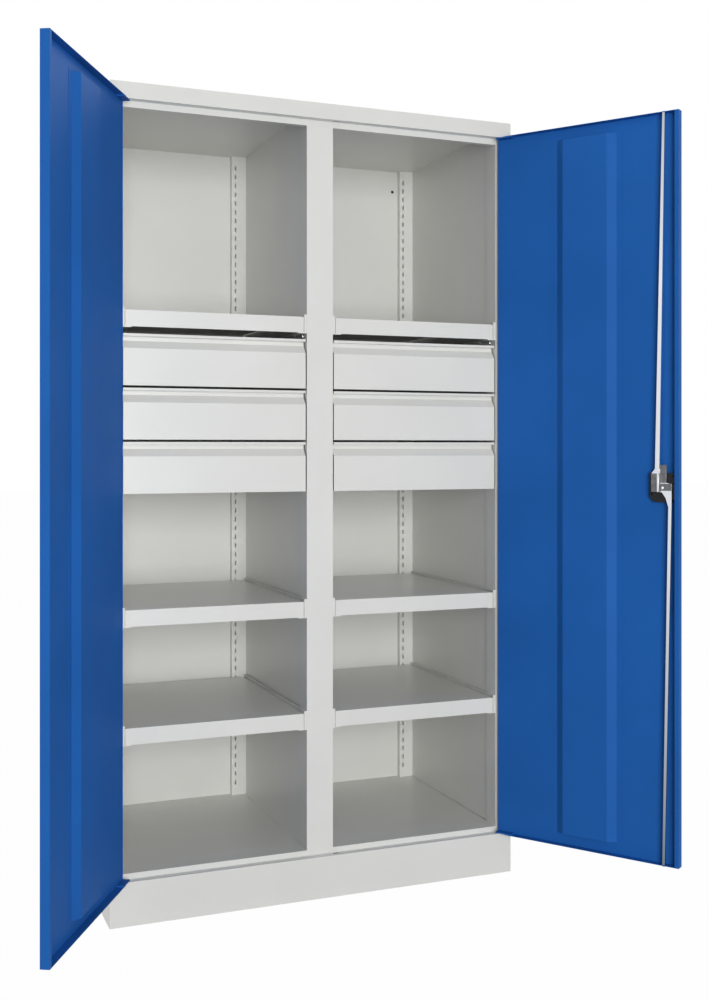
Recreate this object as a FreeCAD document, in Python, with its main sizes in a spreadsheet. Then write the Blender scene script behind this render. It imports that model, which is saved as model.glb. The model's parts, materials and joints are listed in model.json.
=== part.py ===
import FreeCAD, Part
import math
import os
from types import SimpleNamespace

import Sketcher

# Heavy-duty storage cabinet: double-walled steel carcass on a plinth, two inset doors on pivot pins, and in
# each of its two columns three drawers on two-member runners and three shelves on hooked brackets.
# Millimetres. +Z is up, +X is right, the front faces -Y, and the origin is the middle of the footprint on
# the floor. The doors stand open at their rest angles, and the drawers are pushed in.

# Driving dimensions, in groups by the piece that they belong to
SIZES = {
    # carcass
    "width": 1040,
    "depth": 580,
    "height": 1950,
    "sheet": 1.2,
    "thin_sheet": 0.8,
    "overrun": 5,
    "frame_setback": 22,
    "stile_width": 22.5,
    "opening_inset": 32.5,
    "edge_lip": 12,
    "rear_return": 20,
    "inner_wall_inset": 30,
    "wall_return": 20,
    # plinth and floor
    "plinth_height": 102,
    "plinth_flange": 35,
    "floor_rise": 13,
    # top
    "fascia_height": 38,
    "rail_drop": 15,
    "rail_flange": 15,
    "ceiling_drop": 15,
    # partition
    "post_width": 68,
    "post_side": 52,
    "partition_width": 62,
    # uprights and their slots
    "front_upright_depth": 40,
    "front_upright_return": 18,
    "rear_upright_width": 42,
    "rear_upright_depth": 17,
    "slot_pitch": 25,
    "slot_height": 12,
    "slot_width": 3.5,
    "slot_inset": 11,
    "slot_start": 30,
    # wall fixing
    "wall_hole_radius": 3.5,
    "wall_hole_inset": 89,
    "wall_hole_drop": 75,
    # shelves, whose top faces lie on the slot pitch
    "shelf_gap": 7.5,
    "shelf_fold": 38.5,
    "shelf_return": 12,
    "shelf_rear_gap": 4,
    "lower_shelf_height": 451.5,
    "middle_shelf_height": 726.5,
    "top_shelf_height": 1426.5,
    "bracket_sheet": 2,
    "bracket_flange": 22,
    "bracket_rise": 6,
    "bracket_lip": 5,
    "bracket_tab_gap": 1,
    # drawers
    "drawer_base_height": 997.5,
    "drawer_pitch": 126.5,
    "front_reveal": 1,
    "front_gap": 3,
    "front_sheet": 1,
    "face_height": 87,
    "band_height": 18,
    "grip_wall": 10,
    "grip_depth": 16,
    "lip_height": 6,
    "front_return": 20,
    "front_back_fold": 10,
    "tray_length": 490,
    "tray_lift": 2,
    "tray_side_height": 111,
    "tray_back_height": 95,
    "divider_slot_height": 13,
    "divider_slot_width": 3,
    "divider_slot_pitch": 64,
    "divider_slot_start": 53,
    "divider_slot_rise": 52,
    # runners
    "runner_height": 42,
    "runner_lift": 5,
    "runner_reach": 11,
    "runner_sheet": 1.5,
    "runner_clearance": 0.4,
    "runner_stack": 11.5,
    # doors
    "left_rest_angle": 119,
    "right_rest_angle": 124,
    "pivot_inset": 31,
    "pivot_setback": 4,
    "hinge_overhang": 4,
    "hinge_flange": 2.5,
    "flange_corner": 26,
    "hinge_plate_length": 42,
    "hinge_plate_sheet": 3,
    "door_depth": 20,
    "door_sheet": 1,
    "door_gap": 3,
    "meeting_gap": 2,
    "door_return": 9,
    "pin_radius": 2.5,
    "pin_clearance": 0.1,
    "pin_engagement": 4,
    # door stiffeners
    "stiffener_crown": 118,
    "stiffener_slope": 21,
    "stiffener_flange": 14,
    "stiffener_depth": 14,
    "stiffener_end_gap": 30,
    # lock
    "lock_inset": 38,
    "lock_height": 1009,
    "case_width": 66,
    "case_shift": 4,
    "case_height": 70,
    "case_depth": 11,
    "case_corner": 12,
    "spindle_side": 8,
    "spindle_hole_radius": 6,
    "cam_reach": 19,
    "cam_middle": 11,
    "cam_tip": 5,
    "cam_sheet": 2,
    "cam_clearance": 0.4,
    "crank": 14,
    "crank_pin_radius": 2.5,
    "crank_slot_play": 3.2,
    "link_sheet": 1.8,
    "link_margin": 5,
    "link_tail": 10,
    "link_root": 46,
    "upper_link_edge": 31,
    "upper_link_shoulder": 34,
    "link_tab_edge": 9.5,
    "link_tab_top": 55,
    "lower_link_edge": 20,
    "link_neck_edge": 5,
    "link_neck": 24,
    "link_waist": 6,
    "rod_offset": 16,
    "rod_depth": 16,
    "rod_thickness": 5,
    "rod_tip_width": 6,
    "upper_rod_width": 11,
    "lower_rod_width": 8,
    "rod_clearance": 0.3,
    "rod_protrusion": 1.5,
    "keeper_width": 14,
    "keeper_depth": 9,
    # handle
    "rosette_width": 46,
    "rosette_height": 62,
    "rosette_corner": 10,
    "rosette_depth": 5,
    "hub_clearance": 0.3,
    "hub_radius": 14,
    "hub_reach": 24,
    "hub_socket": 12,
    "wing_length": 72,
    "wing_middle": 32,
    "wing_tip": 16,
    "wing_depth": 17,
    "wing_corner": 5,
    "key_radius": 8,
    "key_clearance": 0.1,
    "key_length": 14,
    "key_proud": 1.5,
    "keyway_width": 2,
    "keyway_length": 9,
    "keyway_depth": 4,
}


class Size:
    """A length that keeps both its number and its spreadsheet expression through sums and products."""

    def __init__(self, text, value):
        self.text = text
        self.value = value

    def __add__(self, other):
        other = as_size(other)
        return Size(f"({self.text} + {other.text})", self.value + other.value)

    def __sub__(self, other):
        other = as_size(other)
        return Size(f"({self.text} - {other.text})", self.value - other.value)

    def __mul__(self, other):
        other = as_size(other)
        return Size(f"({self.text} * {other.text})", self.value * other.value)

    def __truediv__(self, other):
        other = as_size(other)
        return Size(f"({self.text} / {other.text})", self.value / other.value)

    def __neg__(self):
        return Size(f"(-{self.text})", -self.value)


def as_size(value):
    """Plain counts and signs become sizes with no cell behind them."""
    if isinstance(value, Size):
        return value
    return Size(str(value), value)


def whole(size):
    """The whole number of times that a ratio of two sizes holds."""
    return Size(f"floor({size.text})", math.floor(size.value))


ZERO = Size("0", 0)

doc = FreeCAD.newDocument("storage_cabinet")
sheet = doc.addObject("Spreadsheet::Sheet", "sizes")
for row, (alias, number) in enumerate(SIZES.items(), start=1):
    sheet.set(f"A{row}", alias)
    sheet.set(f"B{row}", str(number))
    sheet.setAlias(f"B{row}", alias)
doc.recompute()
s = SimpleNamespace(**{alias: Size(f"sizes.{alias}", number) for alias, number in SIZES.items()})

nodes = []


# Modelling helpers


def bind(obj, path, size):
    """Ties a property of an object to the sheet."""
    obj.setExpression(path, as_size(size).text)


def place(obj, x=ZERO, y=ZERO, z=ZERO):
    """Ties an object's position to the sheet."""
    bind(obj, "Placement.Base.x", x)
    bind(obj, "Placement.Base.y", y)
    bind(obj, "Placement.Base.z", z)
    return obj


def node(obj, label):
    """Names a finished sub-part and queues it for export."""
    obj.Label = label
    nodes.append(obj)
    return obj


def group(label, objects):
    """Several separate solids that share one sub-part."""
    compound = doc.addObject("Part::Compound", label)
    compound.Links = objects
    return node(compound, label)


def origin_feature(body, role):
    return next(feature for feature in body.Origin.OriginFeatures if feature.Role == role)


def new_body(label):
    return doc.addObject("PartDesign::Body", label)


def new_sketch(body, name, role, lift=None):
    """An empty sketch on one of the body's own origin planes, lifted along the plane's normal."""
    sketch = body.newObject("Sketcher::SketchObject", name)
    sketch.AttachmentSupport = [(origin_feature(body, role), "")]
    sketch.MapMode = "FlatFace"
    if lift is not None:
        bind(sketch, "AttachmentOffset.Base.z", lift)
    return sketch


def outline(sketch, points):
    """A closed polygon whose corners are tied to the sheet."""
    points = [(as_size(x), as_size(y)) for x, y in points]
    first = sketch.GeometryCount
    corners = [FreeCAD.Vector(x.value, y.value, 0) for x, y in points]
    for start, end in zip(corners, corners[1:] + corners[:1]):
        sketch.addGeometry(Part.LineSegment(start, end))
    for index in range(len(points)):
        following = first + (index + 1) % len(points)
        sketch.addConstraint(Sketcher.Constraint("Coincident", first + index, 2, following, 1))
    for index, corner in enumerate(points):
        for kind, size in zip(("DistanceX", "DistanceY"), corner):
            constraint = Sketcher.Constraint(kind, -1, 1, first + index, 1, size.value)
            bind(sketch, f"Constraints[{sketch.addConstraint(constraint)}]", size)
    return sketch


def disc(sketch, x, y, radius):
    """A circle whose centre and radius are tied to the sheet."""
    x, y = as_size(x), as_size(y)
    centre = FreeCAD.Vector(x.value, y.value, 0)
    circle = sketch.addGeometry(Part.Circle(centre, FreeCAD.Vector(0, 0, 1), radius.value))
    for kind, size in (("DistanceX", x), ("DistanceY", y)):
        constraint = Sketcher.Constraint(kind, -1, 1, circle, 3, size.value)
        bind(sketch, f"Constraints[{sketch.addConstraint(constraint)}]", size)
    constraint = Sketcher.Constraint("Radius", circle, radius.value)
    bind(sketch, f"Constraints[{sketch.addConstraint(constraint)}]", radius)
    return sketch


def rectangle(x0, y0, x1, y1):
    return [(x0, y0), (x1, y0), (x1, y1), (x0, y1)]


def folded(path, thickness):
    """The closed outline of a sheet folded square along a path, with its thickness on the path's left."""
    path = [(as_size(x), as_size(y)) for x, y in path]
    sides = []
    for (x0, y0), (x1, y1) in zip(path, path[1:]):
        run, rise = x1.value - x0.value, y1.value - y0.value
        length = math.hypot(run, rise)
        sides.append((-rise / length, run / length))
    inner = []
    for index, (x, y) in enumerate(path):
        near = sides[max(index - 1, 0)]
        far = sides[min(index, len(sides) - 1)]
        turn = {near, far}
        shift_x = round(sum(side[0] for side in turn))
        shift_y = round(sum(side[1] for side in turn))
        inner.append((x + thickness * shift_x, y + thickness * shift_y))
    return path + inner[::-1]


def pad(body, sketch, length, backwards=False):
    feature = body.newObject("PartDesign::Pad", "pad")
    feature.Profile = sketch
    feature.Reversed = backwards
    bind(feature, "Length", length)
    return feature


def cut_through(body, sketch):
    """A pocket right through the body on both sides of its sketch."""
    feature = body.newObject("PartDesign::Pocket", "cut")
    feature.Profile = sketch
    feature.Type = "ThroughAll"
    feature.SideType = "Symmetric"
    return feature


def cut_to(body, sketch, length, backwards=False):
    """A pocket of a given length, along the sketch's normal when backwards is set."""
    feature = body.newObject("PartDesign::Pocket", "cut")
    feature.Profile = sketch
    feature.Reversed = backwards
    bind(feature, "Length", length)
    return feature


def pattern(body, feature, axis, spacing, count):
    """A row of copies of a feature along one of the body's axes."""
    row = body.newObject("PartDesign::LinearPattern", "row")
    row.Originals = [feature]
    row.Direction = (origin_feature(body, axis), [""])
    row.Mode = "Spacing"
    bind(row, "Offset", spacing)
    bind(row, "Occurrences", count)
    body.Tip = row
    return row


def extrusion(label, role, points, length, backwards=False):
    """A body padded from one polygon on one of its planes."""
    body = new_body(label)
    sketch = outline(new_sketch(body, "profile", role), points)
    pad(body, sketch, length, backwards)
    return body


def box(name, x0, y0, z0, x1, y1, z1):
    """A block between two corners."""
    block = doc.addObject("Part::Box", name)
    x0, y0, z0 = as_size(x0), as_size(y0), as_size(z0)
    bind(block, "Length", as_size(x1) - x0)
    bind(block, "Width", as_size(y1) - y0)
    bind(block, "Height", as_size(z1) - z0)
    return place(block, x0, y0, z0)


def peg(name, x, y, z, radius, length):
    """An upright round bar from its lower end."""
    bar = doc.addObject("Part::Cylinder", name)
    bind(bar, "Radius", radius)
    bind(bar, "Height", length)
    return place(bar, x, y, z)


def minus(label, base, *tools):
    """A solid with one or more tools cut away."""
    for number, tool in enumerate(tools, start=1):
        last = number == len(tools)
        result = doc.addObject("Part::Cut", label if last else f"{label}_cut_{number}")
        result.Base = base
        result.Tool = tool
        base = result
    return base


# Places that several pieces share
half = s.width / 2
front = -(s.depth / 2)
back = s.depth / 2
frame_plane = front + s.frame_setback
floor_top = s.plinth_height + s.floor_rise
cover_base = s.height - s.fascia_height
ceiling = s.height - s.ceiling_drop
rail_base = cover_base - s.rail_drop
opening_edge = half - s.opening_inset
post_half = s.post_width / 2
back_face = back - s.sheet - s.thin_sheet
rear_upright_face = back_face - s.rear_upright_depth
column_middle = (opening_edge + post_half) / 2
column_half = (opening_edge - post_half) / 2
pivot_x = half - s.pivot_inset
pivot_y = front + s.pivot_setback
door_reach = pivot_x - s.meeting_gap / 2
door_base = s.plinth_height + s.door_gap
door_height = cover_base - s.door_gap - door_base
lock_place = door_reach - s.lock_inset
door_top = door_base + door_height
rod_y = front + s.rod_depth

SIDES = (("left", -1), ("right", 1))
DRAWERS = (1, 2, 3)

# Angle in radians within which two directions count as parallel
PARALLEL = 0.001


# Plinth and floor


def channel(label, x0, y0, x1, y1, open_side):
    """A plinth channel of full height: a box hollowed from one long side, closed at both ends."""
    block = box(label + "_block", x0, y0, ZERO, x1, y1, s.plinth_height)
    ends = {"x0": x0 + s.sheet, "y0": y0 + s.sheet, "x1": x1 - s.sheet, "y1": y1 - s.sheet}
    outwards = s.overrun if open_side in ("x1", "y1") else -s.overrun
    ends[open_side] = {"x0": x0, "y0": y0, "x1": x1, "y1": y1}[open_side] + outwards
    corners = (ends["x0"], ends["y0"], s.sheet, ends["x1"], ends["y1"], s.plinth_height - s.sheet)
    return minus(label, block, box(label + "_hollow", *corners))


def ledge_holes(label, height):
    """Tools for the two hinge-pin holes and the rod's keeper slot through a ledge."""
    low = height - s.overrun
    long = s.overrun * 2
    tools = []
    for side, sign in SIDES:
        hole = peg(label + side, pivot_x * sign, pivot_y, low, s.pin_radius + s.pin_clearance, long)
        tools.append(hole)
    rod_x = pivot_x - lock_place
    x0, x1 = rod_x - s.keeper_width / 2, rod_x + s.keeper_width / 2
    y0, y1 = rod_y - s.keeper_depth / 2, rod_y + s.keeper_depth / 2
    tools.append(box(label + "keeper", x0, y0, low, x1, y1, low + long))
    return tools


def build_plinth():
    front_channel = channel("front_channel", -half, front, half, front + s.plinth_flange, "y1")
    holes = ledge_holes("plinth_hole_", s.plinth_height)
    front_channel = minus("front_channel_drilled", front_channel, *holes)
    rear_channel = channel("rear_channel", -half, back - s.plinth_flange, half, back, "y0")
    y0, y1 = front + s.plinth_flange, back - s.plinth_flange
    left_channel = channel("left_channel", -half, y0, s.plinth_flange - half, y1, "x1")
    right_channel = channel("right_channel", half - s.plinth_flange, y0, half, y1, "x0")
    middle = s.plinth_flange / 2
    middle_channel = channel("middle_channel", -middle, y0, middle, y1, "x1")
    group("plinth_frame", [front_channel, rear_channel, left_channel, right_channel, middle_channel])


def build_floor():
    low = s.plinth_height
    block = box("floor_block", -opening_edge, frame_plane, low, opening_edge, back_face, floor_top)
    hollow = box(
        "floor_hollow",
        s.sheet - opening_edge,
        frame_plane + s.sheet,
        low - s.overrun,
        opening_edge - s.sheet,
        back_face - s.sheet,
        floor_top - s.sheet,
    )
    node(minus("floor_panel", block, hollow), "floor_panel")


# Sides


def build_side(side, sign):
    """Outer sheet folded at the front into the stile and the rebate that the door closes against."""
    path = [
        ((half - s.rear_return) * sign, back),
        (half * sign, back),
        (half * sign, front),
        ((half - s.stile_width) * sign, front),
        ((half - s.stile_width) * sign, frame_plane),
        (opening_edge * sign, frame_plane),
        (opening_edge * sign, frame_plane + s.edge_lip),
    ]
    ordered = path if sign < 0 else path[::-1]
    body = extrusion(side + "_side_panel", "XY_Plane", folded(ordered, s.sheet), cover_base - s.plinth_height)
    node(place(body, z=s.plinth_height), side + "_side_panel")


def build_inner_wall(side, sign):
    """Inner skin of the double side, with a return at each end that stiffens it."""
    face = half - s.inner_wall_inset
    start = frame_plane + s.edge_lip + s.front_upright_depth
    path = [
        ((face + s.wall_return) * sign, start),
        (face * sign, start),
        (face * sign, back_face),
        ((face + s.wall_return) * sign, back_face),
    ]
    ordered = path if sign < 0 else path[::-1]
    points = folded(ordered, s.thin_sheet)
    body = extrusion(side + "_inner_wall", "XY_Plane", points, ceiling - s.plinth_height)
    node(place(body, z=s.plinth_height), side + "_inner_wall")


def build_back():
    label = "back_panel"
    body = new_body(label)
    edge = half - s.sheet
    height = ceiling - s.plinth_height
    sketch = new_sketch(body, "sheet", "XZ_Plane")
    pad(body, outline(sketch, rectangle(-edge, ZERO, edge, height)), s.thin_sheet, True)
    holes = new_sketch(body, "wall_holes", "XZ_Plane")
    for side, sign in SIDES:
        x = (half - s.wall_hole_inset) * sign
        disc(holes, x, s.height - s.wall_hole_drop - s.plinth_height, s.wall_hole_radius)
    cut_through(body, holes)
    node(place(body, y=back_face, z=s.plinth_height), label)


# Top


def build_top():
    block = box("cover_block", -half, front, cover_base, half, back, s.height)
    inside = half - s.sheet
    y0, y1 = front + s.sheet, back - s.sheet
    hollow = box("cover_hollow", -inside, y0, cover_base + s.sheet, inside, y1, s.height - s.sheet)
    mouth = box("cover_mouth", -inside, frame_plane, cover_base - s.overrun, inside, y1, s.height - s.sheet)
    holes = ledge_holes("cover_hole_", cover_base)
    node(minus("top_cover", block, hollow, mouth, *holes), "top_cover")

    flange_end = frame_plane + s.rail_flange
    path = [
        (flange_end, rail_base),
        (frame_plane, rail_base),
        (frame_plane, ceiling),
        (flange_end, ceiling),
    ]
    points = folded(path[::-1], s.sheet)
    rail = extrusion("top_rail", "YZ_Plane", points, opening_edge * 2)
    node(place(rail, x=-opening_edge), "top_rail")

    panel = box("ceiling_panel", -inside, frame_plane, ceiling, inside, y1, ceiling + s.thin_sheet)
    node(panel, "ceiling_panel")


# Partition and uprights


def slot_row(body, x0, x1, height):
    """One row of hook slots up an upright's face."""
    sketch = new_sketch(body, "slot", "XZ_Plane")
    outline(sketch, rectangle(x0, s.slot_start, x1, s.slot_start + s.slot_height))
    count = whole((height - s.slot_start * 2) / s.slot_pitch) + 1
    pattern(body, cut_through(body, sketch), "Z_Axis", s.slot_pitch, count)


def build_partition():
    label = "centre_post"
    height = rail_base - floor_top
    side_end = frame_plane + s.post_side
    path = [
        (post_half, side_end),
        (post_half, frame_plane),
        (-post_half, frame_plane),
        (-post_half, side_end),
    ]
    post = extrusion(label, "XY_Plane", folded(path[::-1], s.sheet), height)
    node(place(post, z=floor_top), label)

    walls = []
    face = s.partition_width / 2
    for side, sign in SIDES:
        start = side_end - s.wall_return
        path = [
            ((face - s.wall_return) * sign, start),
            (face * sign, start),
            (face * sign, back_face),
            ((face - s.wall_return) * sign, back_face),
        ]
        ordered = path if sign > 0 else path[::-1]
        points = folded(ordered, s.thin_sheet)
        wall = extrusion(side + "_partition_wall", "XY_Plane", points, ceiling - floor_top)
        walls.append(place(wall, z=floor_top))
    group("partition_walls", walls)


def build_uprights():
    """Channels for the brackets and runners: plain at the sides in front, slotted in the corners behind."""
    height = ceiling - s.plinth_height
    fronts = []
    for side, sign in SIDES:
        start = frame_plane + s.edge_lip
        end = start + s.front_upright_depth
        outer = opening_edge + s.front_upright_return
        path = [
            (outer * sign, start),
            (opening_edge * sign, start),
            (opening_edge * sign, end),
            (outer * sign, end),
        ]
        ordered = path if sign < 0 else path[::-1]
        upright = extrusion(side + "_front_upright", "XY_Plane", folded(ordered, s.sheet), height)
        fronts.append(place(upright, z=s.plinth_height))
    group("front_uprights", fronts)

    rears = []
    wall = half - s.inner_wall_inset
    partition = s.partition_width / 2
    low = floor_top
    for name, root, inwards in (
        ("left_outer", -wall, 1),
        ("left_inner", -partition, -1),
        ("right_inner", partition, 1),
        ("right_outer", wall, -1),
    ):
        edge = root + s.rear_upright_width * inwards
        path = [
            (root, back_face),
            (root, rear_upright_face),
            (edge, rear_upright_face),
            (edge, back_face),
        ]
        ordered = path if inwards > 0 else path[::-1]
        points = folded(ordered, s.sheet)
        upright = extrusion(name + "_rear_upright", "XY_Plane", points, ceiling - low)
        middle = edge - s.slot_inset * inwards
        x0, x1 = middle - s.slot_width / 2, middle + s.slot_width / 2
        slot_row(upright, x0, x1, ceiling - low)
        rears.append(place(upright, z=low))
    group("rear_uprights", rears)


# Shelves


SHELVES = (
    ("top", s.top_shelf_height),
    ("middle", s.middle_shelf_height),
    ("lower", s.lower_shelf_height),
)


def build_shelves():
    """Shelves folded down and back under at the front and the rear, on a bracket at each end."""
    shelf_front = frame_plane + s.front_reveal
    shelf_back = rear_upright_face - s.shelf_rear_gap
    length = column_half * 2 - s.shelf_gap * 2
    brackets = []
    for side, sign in SIDES:
        for level, height in SHELVES:
            base = height - s.shelf_fold
            path = [
                (shelf_front + s.shelf_return, base),
                (shelf_front, base),
                (shelf_front, height),
                (shelf_back, height),
                (shelf_back, base),
                (shelf_back - s.shelf_return, base),
            ]
            label = f"{level}_{side}_shelf"
            shelf = extrusion(label, "YZ_Plane", folded(path[::-1], s.sheet), length)
            node(place(shelf, x=column_middle * sign - length / 2), label)
            for end in (-1, 1):
                name = f"{label}_bracket_{'inner' if end * sign < 0 else 'outer'}"
                brackets.append(build_bracket(name, sign, end, height, shelf_front))
    group("shelf_brackets", brackets)


def build_bracket(name, sign, end, height, shelf_front):
    """Rail between the uprights: web on their faces, flange under the shelf, lip above it, tab in front."""
    face = column_middle * sign + column_half * end
    low = height - s.shelf_fold - s.bracket_sheet
    high = height + s.bracket_rise
    path = [
        (face - s.bracket_lip * end, high),
        (face, high),
        (face, low),
        (face - s.bracket_flange * end, low),
    ]
    ordered = path if end < 0 else path[::-1]
    length = rear_upright_face - shelf_front
    bracket = extrusion(name, "XZ_Plane", folded(ordered, s.bracket_sheet), length, True)
    tab_edge = face - (s.shelf_gap - s.bracket_tab_gap) * end
    tab = outline(new_sketch(bracket, "tab", "XZ_Plane"), rectangle(tab_edge, low, face, high))
    pad(bracket, tab, s.bracket_sheet, True)
    return place(bracket, y=shelf_front)


# Drawers


def drawer_base(number):
    """Height of a drawer's underside, counted from the top one."""
    return s.drawer_base_height + s.drawer_pitch * (len(DRAWERS) - number)


def build_drawer(side, sign, number):
    label = f"{side}_drawer_{number}"
    base = drawer_base(number)
    face = frame_plane + s.front_reveal
    front_end = face + s.front_return
    width = column_half * 2 - s.front_gap * 2
    middle = column_middle * sign

    front_panel = drawer_front(label + "_front", width)
    node(place(front_panel, middle - width / 2, face, base), label + "_front")

    tray_half = column_half - s.runner_stack
    low = base + s.tray_lift
    floor_edge = tray_half - s.thin_sheet
    tray_end = front_end + s.tray_length
    floor_top_face = low + s.thin_sheet
    x0, x1 = middle - floor_edge, middle + floor_edge
    back_start = tray_end - s.thin_sheet
    back_top = floor_top_face + s.tray_back_height
    pieces = [
        box(label + "_floor", x0, front_end, low, x1, tray_end, floor_top_face),
        box(label + "_back", x0, back_start, floor_top_face, x1, tray_end, back_top),
    ]
    for end in (-1, 1):
        inner = middle + floor_edge * end
        outer = middle + tray_half * end
        x = inner if end > 0 else outer
        wall = tray_side(f"{label}_side_{'left' if end < 0 else 'right'}")
        pieces.append(place(wall, x, front_end, low))
    group(label + "_tray", pieces)

    members = []
    for end in (-1, 1):
        name = f"{label}_runner_{'left' if end < 0 else 'right'}"
        root = middle + column_half * end
        members.append(drawer_member(name, root, -end, base + s.runner_lift, front_end))
    group(label + "_runners", members)


def drawer_front(label, width):
    """Folded front: flat face, band slanting back into the grip, grip wall, and the lip above it."""
    t = s.front_sheet
    band_top = s.face_height + s.band_height
    lip_base = band_top + s.grip_wall
    top = lip_base + s.lip_height
    deep = s.front_return
    points = [
        (deep, ZERO),
        (ZERO, ZERO),
        (ZERO, s.face_height),
        (s.grip_depth, band_top),
        (s.grip_depth, lip_base),
        (ZERO, lip_base),
        (ZERO, top),
        (deep, top),
        (deep, top - s.front_back_fold),
        (deep - t, top - s.front_back_fold),
        (deep - t, top - t),
        (t, top - t),
        (t, lip_base + t),
        (s.grip_depth + t, lip_base + t),
        (s.grip_depth + t, band_top),
        (t, s.face_height),
        (t, t),
        (deep, t),
    ]
    return extrusion(label, "YZ_Plane", points, width)


def tray_side(label):
    """Side sheet with its row of slots for dividers."""
    body = new_body(label)
    sketch = new_sketch(body, "sheet", "YZ_Plane")
    pad(body, outline(sketch, rectangle(ZERO, ZERO, s.tray_length, s.tray_side_height)), s.thin_sheet)
    slot = new_sketch(body, "slot", "YZ_Plane")
    x0 = s.divider_slot_start
    y0 = s.divider_slot_rise
    outline(slot, rectangle(x0, y0, x0 + s.divider_slot_width, y0 + s.divider_slot_height))
    room = (s.tray_length - s.divider_slot_start * 2) / s.divider_slot_pitch
    pattern(body, cut_through(body, slot), "Y_Axis", s.divider_slot_pitch, whole(room) + 1)
    return body


def drawer_member(name, root, inwards, low, start):
    """Inner runner member, a channel that opens towards the upright and rides inside the outer one."""
    t = s.runner_sheet
    inset = t + s.runner_clearance
    web = root + s.runner_stack * inwards
    tip = root + inset * inwards
    z0, z1 = low + inset, low + s.runner_height - inset
    path = [(tip, z0), (web, z0), (web, z1), (tip, z1)]
    ordered = path if inwards > 0 else path[::-1]
    body = extrusion(name, "XZ_Plane", folded(ordered, t), s.tray_length, True)
    return place(body, y=start)


def build_carcass_runners(side, sign):
    """Outer runner members, channels screwed to the uprights that open towards the drawers."""
    members = []
    start = frame_plane + s.front_reveal + s.front_return + s.front_reveal
    for number in DRAWERS:
        low = drawer_base(number) + s.runner_lift
        for end in (-1, 1):
            root = column_middle * sign + column_half * end
            tip = root - s.runner_reach * end
            high = low + s.runner_height
            path = [(tip, low), (root, low), (root, high), (tip, high)]
            ordered = path if end > 0 else path[::-1]
            name = f"{side}_runner_{number}_{'left' if end < 0 else 'right'}"
            points = folded(ordered, s.runner_sheet)
            member = extrusion(name, "XZ_Plane", points, rear_upright_face - start, True)
            members.append(place(member, y=start))
    group(side + "_column_runners", members)


# Doors: each piece is drawn with its door closed, around the pivot, and then swung to the rest angle


def hang(obj, side, label):
    """Puts a door piece on its pivot at the door's rest angle."""
    sign = dict(SIDES)[side]
    obj.Placement.Rotation = FreeCAD.Rotation(FreeCAD.Vector(0, 0, 1), 1)
    angle = s.right_rest_angle if sign > 0 else -s.left_rest_angle
    bind(obj, "Placement.Rotation.Angle", angle)
    place(obj, pivot_x * sign, pivot_y)
    return node(obj, label)


def hang_group(side, label, objects):
    """Several solids of one door that share a sub-part."""
    compound = doc.addObject("Part::Compound", label)
    compound.Links = objects
    return hang(compound, side, label)


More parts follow.
